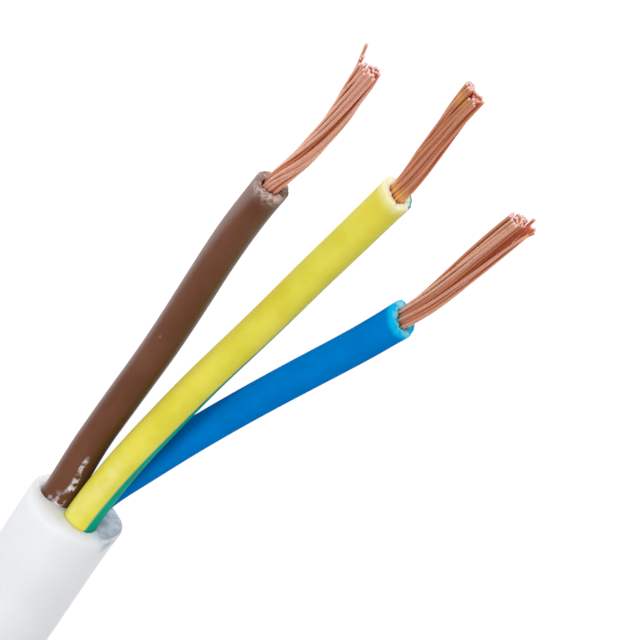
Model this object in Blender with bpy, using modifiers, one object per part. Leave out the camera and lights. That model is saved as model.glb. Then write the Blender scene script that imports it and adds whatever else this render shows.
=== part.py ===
# A ten metre coil of white three-core flexible cable, tied with four plain
# bands, with one stripped end laid out in front of it.
# Metres, +Z up. The cable's lead runs along +X. The origin is on the floor,
# below the middle of the whole part.
import math

import bmesh
import bpy
import numpy as np
from mathutils import Matrix, Vector

MM = 0.001

# Cable
SHEATH_DIAMETER = 8.9 * MM
CORE_DIAMETER = 2.9 * MM
CORE_OFFSET = 1.85 * MM
CHANNEL_DIAMETER = 3.4 * MM
CHANNEL_DEPTH = 9.0 * MM
CORE_ROOT_LENGTH = 8.0 * MM
CONDUCTOR_DIAMETER = 1.75 * MM
CONDUCTOR_ROOT_DIAMETER = 1.40 * MM
CONDUCTOR_ROOT_LENGTH = 3.0 * MM
CORE_BORE_DIAMETER = 1.90 * MM
CORE_BORE_DEPTH = 3.4 * MM
STRAND_GROUPS = 8
STRAND_LAY_LENGTH = 60.0 * MM

# Coil
TURNS_ACROSS = 4
TURNS_HIGH = 5
TURN_GAP = 0.1 * MM
TURN_PITCH = SHEATH_DIAMETER + TURN_GAP
COIL_MEAN_RADIUS = 80.4 * MM
TURN_SHOWN_ANGLE = 72.0
RING_SIDES = 36

# Cable ties
TIE_COUNT = 4
TIE_WIDTH = 4.8 * MM
TIE_THICKNESS = 1.2 * MM
TIE_GAP = 0.3 * MM
TIE_CORNER_RADIUS = 3.4 * MM
TIE_HEAD_LENGTH = 7.6 * MM
TIE_HEAD_WIDTH = 7.4 * MM
TIE_HEAD_HEIGHT = 5.2 * MM
TIE_TAIL_LENGTH = 5.5 * MM
TIE_FIRST_ANGLE = 45.0

# Where things stand
PIECE_GAP = 0.3 * MM
END_X = 86.15 * MM
END_Y = -88.15 * MM
COIL_BACK = 130.0 * MM
LEAD_EASE = 2.17 * MM

COIL_INNER_RADIUS = COIL_MEAN_RADIUS - TURNS_ACROSS / 2.0 * TURN_PITCH + TURN_GAP / 2.0
COIL_OUTER_RADIUS = COIL_MEAN_RADIUS + TURNS_ACROSS / 2.0 * TURN_PITCH - TURN_GAP / 2.0
COIL_BOTTOM = TIE_THICKNESS + TIE_GAP
COIL_HEIGHT = TURNS_HIGH * TURN_PITCH - TURN_GAP
SHEATH_HEIGHT = SHEATH_DIAMETER / 2.0
END = Vector((END_X, END_Y, SHEATH_HEIGHT))
OUTER_TURN_RADIUS = COIL_MEAN_RADIUS + (TURNS_ACROSS - 1) / 2.0 * TURN_PITCH
COIL_CENTRE = Vector((END_X - COIL_BACK, END_Y + OUTER_TURN_RADIUS + LEAD_EASE, 0.0))

# Centre lines in millimetres from the sheath's cut end, read from smooth curves
LEAD_POINTS = [
    (-140.0, 2.30, 1.50),
    (-132.5, 1.33, 1.50),
    (-125.0, 0.70, 1.45),
    (-117.5, 0.28, 1.35),
    (-110.0, 0.09, 1.20),
    (-100.0, 0.00, 0.90),
    (-85.0, 0.00, 0.45),
    (-70.0, 0.00, 0.12),
    (-55.0, 0.00, 0.00),
    (-20.0, 0.00, 0.00),
    (0.0, 0.00, 0.00),
]
BROWN_POINTS = [
    (0.0, 1.85, 0.05),
    (5.7, 2.00, 0.25),
    (11.3, 1.85, 0.80),
    (17.0, 1.60, 1.65),
    (22.5, 1.50, 2.85),
    (28.0, 1.50, 4.40),
    (33.4, 1.35, 6.20),
    (38.6, 0.90, 8.35),
]
BROWN_COPPER = [
    (41.4, 0.30, 9.60),
    (44.2, -0.20, 10.90),
    (47.1, -0.50, 12.10),
    (50.0, -0.65, 13.35),
    (53.2, -0.78, 14.75),
]
EARTH_POINTS = [
    (0.0, -1.00, 1.56),
    (6.5, -1.40, 1.75),
    (12.9, -2.25, 2.15),
    (19.3, -3.30, 2.85),
    (25.6, -4.50, 3.90),
    (31.9, -5.60, 5.20),
    (38.1, -6.70, 6.85),
    (44.2, -7.75, 8.75),
]
EARTH_COPPER = [
    (46.4, -7.95, 9.55),
    (48.7, -8.00, 10.30),
    (50.9, -8.05, 11.10),
    (53.1, -8.15, 11.90),
    (55.6, -8.40, 12.87),
]
BLUE_POINTS = [
    (0.0, -0.85, -1.64),
    (5.2, -2.40, -1.45),
    (10.2, -4.30, -0.90),
    (15.2, -6.25, -0.10),
    (20.2, -8.30, 0.95),
    (25.0, -10.30, 2.25),
    (29.8, -12.25, 3.80),
    (34.7, -14.00, 5.50),
]
BLUE_COPPER = [
    (37.6, -14.85, 6.50),
    (40.5, -15.45, 7.55),
    (43.3, -15.95, 8.60),
    (46.1, -16.45, 9.70),
    (48.9, -16.95, 10.80),
]
COPPER_SWELL = [0.86, 1.0, 1.0, 1.1, 1.36]

WHITE = (0.84, 0.845, 0.85, 1.0)
BROWN = (0.20, 0.075, 0.04, 1.0)
YELLOW_GREEN = (0.78, 0.70, 0.12, 1.0)
BLUE = (0.0, 0.17, 0.55, 1.0)
COPPER = (0.78, 0.40, 0.25, 1.0)
NYLON = (0.80, 0.80, 0.76, 1.0)


def clear_scene():
    for obj in list(bpy.data.objects):
        bpy.data.objects.remove(obj, do_unlink=True)
    for group in list(bpy.data.collections):
        bpy.data.collections.remove(group)


def new_collection(name):
    group = bpy.data.collections.new(name)
    bpy.context.scene.collection.children.link(group)
    return group


def material(name, colour, rough, metal=0.0):
    mat = bpy.data.materials.new(name)
    mat.use_nodes = True
    shader = mat.node_tree.nodes["Principled BSDF"]
    shader.inputs["Base Color"].default_value = colour
    shader.inputs["Roughness"].default_value = rough
    shader.inputs["Metallic"].default_value = metal
    mat.diffuse_color = colour
    return mat


def place(points):
    return [END + Vector(p) * MM for p in points]


def sweep(name, group, points, diameter, resolution=3, radii=None, tilts=None, profile=None):
    """A closed solid swept along a centre line, as a mesh."""
    curve = bpy.data.curves.new(name, "CURVE")
    curve.dimensions = "3D"
    curve.twist_mode = "MINIMUM"
    curve.use_fill_caps = True
    if profile is None:
        curve.bevel_depth = diameter / 2.0
        curve.bevel_resolution = resolution
    else:
        curve.bevel_mode = "OBJECT"
        curve.bevel_object = profile
    line = curve.splines.new("POLY")
    line.points.add(len(points) - 1)
    for i, p in enumerate(points):
        line.points[i].co = (p[0], p[1], p[2], 1.0)
        line.points[i].radius = 1.0 if radii is None else radii[i]
        line.points[i].tilt = 0.0 if tilts is None else tilts[i]
    rod = bpy.data.objects.new(name + "_curve", curve)
    group.objects.link(rod)
    bpy.context.view_layer.update()
    graph = bpy.context.evaluated_depsgraph_get()
    mesh = bpy.data.meshes.new_from_object(rod.evaluated_get(graph))
    bm = bmesh.new()
    bm.from_mesh(mesh)
    bmesh.ops.remove_doubles(bm, verts=bm.verts, dist=0.00001)
    bmesh.ops.recalc_face_normals(bm, faces=bm.faces)
    bm.to_mesh(mesh)
    bm.free()
    mesh.name = name
    obj = bpy.data.objects.new(name, mesh)
    obj.matrix_world = rod.matrix_world.copy()
    group.objects.link(obj)
    bpy.data.objects.remove(rod, do_unlink=True)
    return obj


def smooth_line(points, steps):
    """Points on a smooth curve through the given ones."""
    pts = np.array([tuple(p) for p in points])
    span = np.linalg.norm(np.diff(pts, axis=0), axis=1)
    where = np.concatenate([[0.0], np.cumsum(span)])
    slope = np.gradient(pts, where, axis=0)
    found = []
    for i in range(len(pts) - 1):
        for j in range(steps):
            t = j / steps
            a = 2 * t ** 3 - 3 * t ** 2 + 1
            b = t ** 3 - 2 * t ** 2 + t
            c = -2 * t ** 3 + 3 * t ** 2
            d = t ** 3 - t ** 2
            found.append(a * pts[i] + b * span[i] * slope[i] + c * pts[i + 1] + d * span[i] * slope[i + 1])
    found.append(pts[-1])
    return [Vector(p) for p in found]


def set_material(obj, mat):
    obj.data.materials.clear()
    obj.data.materials.append(mat)


def shade_smooth(obj):
    for face in obj.data.polygons:
        face.use_smooth = True


def cut(obj, cutter):
    step = obj.modifiers.new("cut_" + cutter.name, "BOOLEAN")
    step.operation = "DIFFERENCE"
    step.solver = "EXACT"
    step.object = cutter


def as_cutter(obj):
    obj.hide_render = True
    obj.display_type = "WIRE"


def rod_between(name, group, start, end, radius, sides):
    """A plain round rod from one point to another."""
    bm = bmesh.new()
    length = (end - start).length
    bmesh.ops.create_cone(bm, cap_ends=True, segments=sides, radius1=radius, radius2=radius, depth=length)
    turn = (end - start).to_track_quat("Z", "Y").to_matrix().to_4x4()
    bmesh.ops.transform(bm, matrix=Matrix.Translation((start + end) / 2.0) @ turn, verts=bm.verts)
    mesh = bpy.data.meshes.new(name)
    bm.to_mesh(mesh)
    bm.free()
    obj = bpy.data.objects.new(name, mesh)
    group.objects.link(obj)
    return obj


def coil_outline():
    """Half section of the wound ring: a row of rounded turns on each of its four sides."""
    turn = SHEATH_DIAMETER / 2.0
    low_r = COIL_INNER_RADIUS + turn
    high_r = COIL_OUTER_RADIUS - turn
    low_z = COIL_BOTTOM + turn
    high_z = COIL_BOTTOM + COIL_HEIGHT - turn
    across = [low_r + i * TURN_PITCH for i in range(TURNS_ACROSS)]
    up = [low_z + i * TURN_PITCH for i in range(TURNS_HIGH)]
    angles = [math.radians(TURN_SHOWN_ANGLE * (1.0 - i / 2.0)) for i in range(5)]
    points = []
    for z in reversed(up):
        for a in angles:
            points.append((high_r + turn * math.cos(a), z + turn * math.sin(a)))
    for r in reversed(across):
        for a in angles:
            points.append((r + turn * math.sin(a), low_z - turn * math.cos(a)))
    for z in up:
        for a in angles:
            points.append((low_r - turn * math.cos(a), z - turn * math.sin(a)))
    for r in across:
        for a in angles:
            points.append((r - turn * math.sin(a), high_z + turn * math.cos(a)))
    return points


def wound_ring(name, group):
    outline = coil_outline()
    mesh = bpy.data.meshes.new(name)
    bm = bmesh.new()
    corners = [bm.verts.new((r, 0.0, z)) for r, z in outline]
    for i, vert in enumerate(corners):
        bm.edges.new((vert, corners[(i + 1) % len(corners)]))
    bm.to_mesh(mesh)
    bm.free()
    obj = bpy.data.objects.new(name, mesh)
    obj.location = COIL_CENTRE
    group.objects.link(obj)
    screw = obj.modifiers.new("turned", "SCREW")
    screw.angle = math.radians(360.0)
    screw.screw_offset = 0.0
    screw.steps = RING_SIDES
    screw.render_steps = RING_SIDES
    screw.axis = "Z"
    screw.use_merge_vertices = True
    screw.merge_threshold = 0.00005
    screw.use_normal_calculate = True
    return obj


def channel_cutter(name, group):
    """The three-lobed hollow that the cores leave in the sheath's end."""
    radius = CHANNEL_DIAMETER / 2.0
    lobes = []
    for p in (BROWN_POINTS[0], EARTH_POINTS[0], BLUE_POINTS[0]):
        lobes.append(math.atan2(p[2], p[1]))
    sides = 48
    bm = bmesh.new()
    ring = []
    for i in range(sides):
        a = 2.0 * math.pi * i / sides
        best = 0.0
        for lobe in lobes:
            d = math.atan2(math.sin(a - lobe), math.cos(a - lobe))
            inside = radius ** 2 - (CORE_OFFSET * math.sin(d)) ** 2
            if abs(d) < math.pi / 2.0 and inside > 0.0:
                best = max(best, CORE_OFFSET * math.cos(d) + math.sqrt(inside))
        ring.append((best * math.cos(a), best * math.sin(a)))
    back = [bm.verts.new((END.x - CHANNEL_DEPTH, END.y + y, END.z + z)) for y, z in ring]
    front = [bm.verts.new((END.x + PIECE_GAP, END.y + y, END.z + z)) for y, z in ring]
    for i in range(sides):
        j = (i + 1) % sides
        bm.faces.new((back[i], back[j], front[j], front[i]))
    bm.faces.new(list(reversed(back)))
    bm.faces.new(front)
    bmesh.ops.recalc_face_normals(bm, faces=bm.faces)
    mesh = bpy.data.meshes.new(name)
    bm.to_mesh(mesh)
    bm.free()
    obj = bpy.data.objects.new(name, mesh)
    group.objects.link(obj)
    return obj


def core(name, group, cutters, points, colour):
    """An insulated core: its root in the sheath, its tip bored for the strands."""
    line = smooth_line(place(points), 2)
    root = Vector(line[0])
    root.x -= CORE_ROOT_LENGTH
    body = sweep(name, group, [root] + line, CORE_DIAMETER, 3)
    along = (line[-1] - line[-2]).normalized()
    tool = rod_between("bore_" + name, cutters, line[-1] - along * CORE_BORE_DEPTH,
                       line[-1] + along * PIECE_GAP, CORE_BORE_DIAMETER / 2.0, 16)
    as_cutter(tool)
    cut(body, tool)
    set_material(body, colour)
    shade_smooth(body)
    return body


def strand_profile(group):
    """The fluted outline of a bundle of twisted strands."""
    curve = bpy.data.curves.new("strand_outline", "CURVE")
    curve.dimensions = "2D"
    line = curve.splines.new("POLY")
    count = STRAND_GROUPS * 3
    line.points.add(count - 1)
    shape = (0.90, 1.0, 1.0)
    for i in range(count):
        a = 2.0 * math.pi * i / count
        r = CONDUCTOR_DIAMETER / 2.0 * shape[i % 3]
        line.points[i].co = (r * math.cos(a), r * math.sin(a), 0.0, 1.0)
    line.use_cyclic_u = True
    obj = bpy.data.objects.new("strand_outline", curve)
    group.objects.link(obj)
    return obj


def conductor(name, group, core_points, copper_points, colour, profile):
    """A twisted bundle of bare strands that spreads a little at its tip."""
    core_line = smooth_line(place(core_points), 2)
    tip = core_line[-1]
    along = (tip - core_line[-2]).normalized()
    inner = tip - along * CONDUCTOR_ROOT_LENGTH
    rest = smooth_line([tip] + place(copper_points), 2)
    line = [inner, tip - along * CONDUCTOR_ROOT_LENGTH / 2.0] + rest
    root = CONDUCTOR_ROOT_DIAMETER / CONDUCTOR_DIAMETER
    swell = [root, root, root]
    known = [root] + COPPER_SWELL
    for i in range(len(copper_points)):
        swell.append((known[i] + known[i + 1]) / 2.0)
        swell.append(known[i + 1])
    turn = []
    gone = 0.0
    for i, p in enumerate(line):
        if i:
            gone += (p - line[i - 1]).length
        turn.append(2.0 * math.pi * gone / STRAND_LAY_LENGTH)
    body = sweep(name, group, line, CONDUCTOR_DIAMETER, radii=swell, tilts=turn, profile=profile)
    set_material(body, colour)
    shade_smooth(body)
    return body


def rounded_box(width, height, radius, steps):
    """A rounded rectangle about the origin, as points in turn."""
    points = []
    centres = [(1, 1, 0.0), (-1, 1, 90.0), (-1, -1, 180.0), (1, -1, 270.0)]
    for sx, sy, start in centres:
        for i in range(steps + 1):
            a = math.radians(start + 90.0 * i / steps)
            points.append((sx * (width / 2.0 - radius) + radius * math.cos(a),
                           sy * (height / 2.0 - radius) + radius * math.sin(a)))
    return points


def cable_tie(index, group, colour):
    """One closed band round the ring's section, with its head on top and a cut tail."""
    name = "cable_tie_%d" % (index + 1)
    width = COIL_OUTER_RADIUS - COIL_INNER_RADIUS + 2.0 * TIE_GAP
    height = COIL_HEIGHT + 2.0 * TIE_GAP
    inner = rounded_box(width, height, TIE_CORNER_RADIUS, 4)
    outer = rounded_box(width + 2.0 * TIE_THICKNESS, height + 2.0 * TIE_THICKNESS,
                        TIE_CORNER_RADIUS + TIE_THICKNESS, 4)
    bm = bmesh.new()
    half = TIE_WIDTH / 2.0
    rings = []
    for side in (-half, half):
        for outline in (inner, outer):
            rings.append([bm.verts.new((x, side, z)) for x, z in outline])
    near_in, near_out, far_in, far_out = rings
    count = len(inner)
    for i in range(count):
        j = (i + 1) % count
        bm.faces.new((near_in[i], near_in[j], near_out[j], near_out[i]))
        bm.faces.new((far_in[i], far_out[i], far_out[j], far_in[j]))
        bm.faces.new((near_in[i], far_in[i], far_in[j], near_in[j]))
        bm.faces.new((near_out[i], near_out[j], far_out[j], far_out[i]))
    bmesh.ops.recalc_face_normals(bm, faces=bm.faces)
    mesh = bpy.data.meshes.new(name)
    bm.to_mesh(mesh)
    bm.free()
    obj = bpy.data.objects.new(name, mesh)
    group.objects.link(obj)
    middle = (COIL_OUTER_RADIUS + COIL_INNER_RADIUS) / 2.0
    angle = math.radians(TIE_FIRST_ANGLE + 360.0 / TIE_COUNT * index)
    top = COIL_BOTTOM + COIL_HEIGHT + TIE_GAP
    centre_z = COIL_BOTTOM + COIL_HEIGHT / 2.0
    spot = Matrix.Translation(COIL_CENTRE) @ Matrix.Rotation(angle, 4, "Z")
    obj.matrix_world = spot @ Matrix.Translation((middle, 0.0, centre_z))
    head = tie_block("head_%d" % (index + 1), cutters_group(), TIE_HEAD_LENGTH, TIE_HEAD_WIDTH, TIE_HEAD_HEIGHT)
    head.matrix_world = spot @ Matrix.Translation(
        (middle + 6.0 * MM, 0.0, top + 0.2 * MM + TIE_HEAD_HEIGHT / 2.0))
    tail = tie_block("tail_%d" % (index + 1), cutters_group(), TIE_TAIL_LENGTH, TIE_WIDTH - 0.4 * MM, TIE_THICKNESS)
    tail.matrix_world = spot @ Matrix.Translation(
        (middle + 6.0 * MM + TIE_HEAD_LENGTH / 2.0 + TIE_TAIL_LENGTH / 2.0 - 1.0 * MM, 0.0,
         top + TIE_THICKNESS + 1.6 * MM))
    for piece in (head, tail):
        as_cutter(piece)
        step = obj.modifiers.new("join_" + piece.name, "BOOLEAN")
        step.operation = "UNION"
        step.solver = "EXACT"
        step.object = piece
    set_material(obj, colour)
    return obj


def tie_block(name, group, length, width, height):
    bm = bmesh.new()
    bmesh.ops.create_cube(bm, size=1.0, matrix=Matrix.Diagonal((length, width, height, 1.0)))
    mesh = bpy.data.meshes.new(name)
    bm.to_mesh(mesh)
    bm.free()
    obj = bpy.data.objects.new(name, mesh)
    group.objects.link(obj)
    return obj


def cutters_group():
    return bpy.data.collections["cutters"]


clear_scene()
parts = new_collection("coil_of_electrical_wire")
cutters = new_collection("cutters")

white = material("white_pvc", WHITE, 0.45)
brown = material("brown_pvc", BROWN, 0.40)
earth = material("green_yellow_pvc", YELLOW_GREEN, 0.40)
blue = material("blue_pvc", BLUE, 0.38)
copper = material("bare_copper", COPPER, 0.30, 1.0)
nylon = material("natural_nylon", NYLON, 0.45)

ring = wound_ring("cable_coil", parts)
set_material(ring, white)

lead = sweep("cable_lead", parts, smooth_line(place(LEAD_POINTS), 2), SHEATH_DIAMETER, 3)
clear_of_ring = rod_between("ring_clearance", cutters, COIL_CENTRE - Vector((0.0, 0.0, 5.0 * MM)),
                            COIL_CENTRE + Vector((0.0, 0.0, 60.0 * MM)), COIL_OUTER_RADIUS + PIECE_GAP, 96)
as_cutter(clear_of_ring)
cut(lead, clear_of_ring)
channels = channel_cutter("core_channels", cutters)
as_cutter(channels)
cut(lead, channels)
set_material(lead, white)
shade_smooth(lead)

core("core_brown", parts, cutters, BROWN_POINTS, brown)
core("core_green_yellow", parts, cutters, EARTH_POINTS, earth)
core("core_blue", parts, cutters, BLUE_POINTS, blue)

outline = strand_profile(cutters)
conductor("conductor_brown", parts, BROWN_POINTS, BROWN_COPPER, copper, outline)
conductor("conductor_green_yellow", parts, EARTH_POINTS, EARTH_COPPER, copper, outline)
conductor("conductor_blue", parts, BLUE_POINTS, BLUE_COPPER, copper, outline)
bpy.data.objects.remove(outline, do_unlink=True)

for number in range(TIE_COUNT):
    cable_tie(number, parts, nylon)

bpy.context.view_layer.update()
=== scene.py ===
import math

import bmesh
import bpy
import numpy as np
from mathutils import Matrix, Vector


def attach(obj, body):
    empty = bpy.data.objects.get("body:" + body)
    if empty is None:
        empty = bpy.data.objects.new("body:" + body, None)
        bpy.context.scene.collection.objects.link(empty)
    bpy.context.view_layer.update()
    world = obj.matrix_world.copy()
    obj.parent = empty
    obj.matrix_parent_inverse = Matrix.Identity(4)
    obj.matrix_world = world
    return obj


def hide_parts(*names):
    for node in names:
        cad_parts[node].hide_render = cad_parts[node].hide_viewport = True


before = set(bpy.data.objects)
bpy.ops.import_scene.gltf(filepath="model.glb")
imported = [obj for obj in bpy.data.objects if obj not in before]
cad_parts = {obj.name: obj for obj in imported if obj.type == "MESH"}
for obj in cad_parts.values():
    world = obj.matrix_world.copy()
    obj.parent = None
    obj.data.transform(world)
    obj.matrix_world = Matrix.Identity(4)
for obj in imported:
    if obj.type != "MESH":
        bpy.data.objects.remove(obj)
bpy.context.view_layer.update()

MM = 0.001
TINY = 1e-6
QUARTERS = ((1, 1), (-1, 1), (-1, -1), (1, -1))
WHITE = (1.0, 1.0, 1.0, 1.0)

# Sizes and places, the same as in the solids
SHEATH_DIAMETER = 8.9 * MM
SHEATH_RADIUS = SHEATH_DIAMETER / 2.0
CORE_RADIUS = 1.5 * MM
CORE_OFFSET = 1.85 * MM
CORE_ROOT_LENGTH = 8.0 * MM
STRAND_DIAMETER = 0.25 * MM
STRAND_COUNT = 30
TURN_GAP = 0.1 * MM
TURN_PITCH = SHEATH_DIAMETER + TURN_GAP
TURNS_ACROSS = 4
TURNS_HIGH = 5
COIL_MEAN_RADIUS = 80.4 * MM
COIL_WIDTH = TURNS_ACROSS * TURN_PITCH - TURN_GAP
COIL_HEIGHT = TURNS_HIGH * TURN_PITCH - TURN_GAP
TIE_COUNT = 4
TIE_WIDTH = 4.8 * MM
TIE_THICKNESS = 1.2 * MM
TIE_GAP = 0.3 * MM
TIE_CORNER_RADIUS = 3.4 * MM
TIE_HEAD_LENGTH = 7.6 * MM
TIE_HEAD_WIDTH = 7.4 * MM
TIE_HEAD_HEIGHT = 5.2 * MM
TIE_HEAD_OUT = 6.0 * MM
TIE_HEAD_UP = 0.2 * MM
TIE_TAIL_LENGTH = 5.5 * MM
TIE_TAIL_IN = 1.0 * MM
TIE_TAIL_UP = 1.6 * MM
TIE_FIRST_ANGLE = 45.0
COIL_BOTTOM = TIE_THICKNESS + TIE_GAP
END = Vector((86.15 * MM, -88.15 * MM, 4.45 * MM))
COIL_CENTRE = Vector((END.x - 130.0 * MM, END.y + 96.07 * MM, 0.0))

# The strands are shown a little thicker than they are, so that they touch. STRANDS_APART is the least
# distance between two of them, in strand diameters, and SINKING how fast the sunk ones go deeper.
STRAND_SHOWN = 0.275 * MM
STRANDS_APART = 0.95
SINKING = 0.05

# The bundles were pressed flat from this side
PRESSED_FROM = (0.31, 0.0, 0.95)

# Centre lines, in millimetres from the sheath's cut end
LEAD_POINTS = [
    (-164.2, 8.62, 1.50), (-159.5, 6.92, 1.50), (-154.7, 5.46, 1.50), (-149.9, 4.21, 1.50),
    (-145.0, 3.17, 1.50), (-140.0, 2.30, 1.50), (-132.5, 1.33, 1.50), (-125.0, 0.70, 1.45),
    (-117.5, 0.28, 1.35), (-110.0, 0.09, 1.20), (-100.0, 0.00, 0.90), (-85.0, 0.00, 0.45),
    (-70.0, 0.00, 0.12), (-55.0, 0.00, 0.00), (-20.0, 0.00, 0.00), (0.0, 0.00, 0.00),
]
BROWN_POINTS = [
    (0.0, 1.85, 0.05), (5.7, 2.00, 0.25), (11.3, 1.85, 0.80), (17.0, 1.60, 1.65), (22.5, 1.50, 2.85),
    (28.0, 1.50, 4.40), (33.4, 1.35, 6.20), (38.6, 0.90, 8.35),
]
BROWN_COPPER = [
    (41.4, 0.30, 9.60), (44.2, -0.20, 10.90), (47.1, -0.50, 12.10), (50.0, -0.65, 13.35),
    (53.2, -0.78, 14.75),
]
EARTH_POINTS = [
    (0.0, -1.00, 1.56), (6.5, -1.40, 1.75), (12.9, -2.25, 2.15), (19.3, -3.30, 2.85),
    (25.6, -4.50, 3.90), (31.9, -5.60, 5.20), (38.1, -6.70, 6.85), (44.2, -7.75, 8.75),
]
EARTH_COPPER = [
    (46.4, -7.95, 9.55), (48.7, -8.00, 10.30), (50.9, -8.05, 11.10), (53.1, -8.15, 11.90),
    (55.6, -8.40, 12.87),
]
BLUE_POINTS = [
    (0.0, -0.85, -1.64), (5.2, -2.40, -1.45), (10.2, -4.30, -0.90), (15.2, -6.25, -0.10),
    (20.2, -8.30, 0.95), (25.0, -10.30, 2.25), (29.8, -12.25, 3.80), (34.7, -14.00, 5.50),
]
BLUE_COPPER = [
    (37.6, -14.85, 6.50), (40.5, -15.45, 7.55), (43.3, -15.95, 8.60), (46.1, -16.45, 9.70),
    (48.9, -16.95, 10.80),
]

# Camera, measured from the sheath's cut end
CAMERA_PLACE = Vector((112.86, -8.36, 208.88)) * MM
CAMERA_RIGHT = Vector((0.52557, -0.82350, -0.21359))
CAMERA_UP = Vector((0.76291, 0.56731, -0.31005))
CAMERA_LENS = 150.0

# Where the lamps point, measured from there too
LIGHT_AIM = Vector((20.0, -5.0, 5.0)) * MM


# helpers for lines, meshes and pieces

def place(points):
    """Points given in millimetres from the sheath's cut end, in metres."""
    return np.array([(END.x + p[0] * MM, END.y + p[1] * MM, END.z + p[2] * MM) for p in points])


def distance_along(line):
    return np.concatenate([[0.0], np.cumsum(np.linalg.norm(np.diff(line, axis=0), axis=1))])


def spline(points, step):
    """Evenly spaced points on a natural cubic through the given ones."""
    pts = np.asarray(points, float)
    gap = np.linalg.norm(np.diff(pts, axis=0), axis=1)
    where = distance_along(pts)
    n = len(pts)
    a = np.zeros((n, n))
    b = np.zeros((n, pts.shape[1]))
    a[0, 0] = a[-1, -1] = 1.0
    for i in range(1, n - 1):
        a[i, i - 1] = gap[i - 1]
        a[i, i] = 2.0 * (gap[i - 1] + gap[i])
        a[i, i + 1] = gap[i]
        b[i] = 6.0 * ((pts[i + 1] - pts[i]) / gap[i] - (pts[i] - pts[i - 1]) / gap[i - 1])
    bend = np.linalg.solve(a, b)
    fine = np.linspace(0.0, where[-1], max(40 * n, 400))
    k = np.clip(np.searchsorted(where, fine, side="right") - 1, 0, n - 2)
    h = gap[k][:, None]
    u = ((where[k + 1] - fine) / gap[k])[:, None]
    v = ((fine - where[k]) / gap[k])[:, None]
    line = u * pts[k] + v * pts[k + 1] + ((u ** 3 - u) * bend[k] + (v ** 3 - v) * bend[k + 1]) * h * h / 6.0
    run = distance_along(line)
    want = np.linspace(0.0, run[-1], max(2, int(round(run[-1] / step)) + 1))
    return np.stack([np.interp(want, run, line[:, j]) for j in range(3)], axis=1)


def unit(v):
    return v / np.maximum(np.linalg.norm(v, axis=-1, keepdims=True), 1e-12)


def axes_along(line):
    """For each point: the direction of travel, the upward side and the right-hand side."""
    along = unit(np.gradient(line, axis=0))
    up_side = unit(np.array([0.0, 0.0, 1.0]) - along * along[:, 2:3])
    return along, up_side, np.cross(along, up_side)


def waves(seed, count, low, high):
    """A few smooth waves with fixed random phases, for uneven surfaces."""
    rng = np.random.default_rng(seed)
    return [(rng.uniform(low, high), rng.uniform(0.0, 2.0 * math.pi), rng.integers(0, 4),
             rng.uniform(0.5, 1.0)) for _ in range(count)]


def wavy(parts, s, angle):
    """The waves' mean at a distance s (in mm) and an angle round the axis."""
    total = 0.0
    for rate, phase, lobes, size in parts:
        total = total + size * np.sin(rate * s + phase + lobes * angle)
    return total / len(parts)


def smooth_share(x, low, high):
    """0 up to low and 1 from high on, with a smooth rise between them."""
    t = np.clip((x - low) / (high - low), 0.0, 1.0)
    return t * t * (3.0 - 2.0 * t)


def wrapped(angle):
    """The same angle, between minus and plus half a turn."""
    return np.arctan2(np.sin(angle), np.cos(angle))


def angles_round(sides):
    return np.arange(sides) * 2.0 * math.pi / sides


def spokes(angle, u, v):
    """Directions at angles from u towards v, for one place or for each place along a line."""
    return np.cos(angle)[:, None] * u[..., None, :] + np.sin(angle)[:, None] * v[..., None, :]


def look_up(table, x, column=1):
    """A value between a table's rows, found by their first column."""
    return np.interp(x, [row[0] for row in table], [row[column] for row in table])


def new_object(name, data):
    obj = bpy.data.objects.new(name, data)
    bpy.context.scene.collection.objects.link(obj)
    return obj


def new_piece(name, verts, faces, mats, smooth=True, face_mats=None, values=None):
    """A mesh object with its materials and with named values for its points."""
    mesh = bpy.data.meshes.new(name)
    mesh.from_pydata([tuple(v) for v in verts], [], faces)
    mesh.validate()
    for mat in mats:
        mesh.materials.append(mat)
    if smooth:
        mesh.polygons.foreach_set("use_smooth", [True] * len(mesh.polygons))
    if face_mats is not None:
        mesh.polygons.foreach_set("material_index", face_mats)
    for key, data in (values or {}).items():
        layer = mesh.attributes.new(key, "FLOAT", "POINT")
        layer.data.foreach_set("value", np.asarray(data, np.float32))
    mesh.update()
    obj = new_object(name, mesh)
    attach(obj, "root")
    return obj


def loft_faces(rings, sides, start=0, closed_start=True, closed_end=True):
    """Faces between rings of points, with flat ends."""
    faces = []
    for i in range(rings - 1):
        a = start + i * sides
        b = a + sides
        for j in range(sides):
            k = (j + 1) % sides
            faces.append((a + j, a + k, b + k, b + j))
    if closed_start:
        faces.append(tuple(start + j for j in reversed(range(sides))))
    if closed_end:
        last = start + (rings - 1) * sides
        faces.append(tuple(last + j for j in range(sides)))
    return faces


class Tube:
    """Rings of points, one after another, that close to one skin with a few values at each point."""

    def __init__(self, sides, *keys):
        self.sides = sides
        self.rings = []
        self.values = {key: [] for key in keys}

    def add(self, ring, *marks):
        self.rings.append(ring)
        for column, mark in zip(self.values.values(), marks):
            column.append(np.broadcast_to(mark, self.sides))

    def piece(self, name, mat):
        values = {key: np.concatenate(column) for key, column in self.values.items()}
        faces = loft_faces(len(self.rings), self.sides)
        return new_piece(name, np.concatenate(self.rings), faces, [mat], values=values)


# materials

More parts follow.
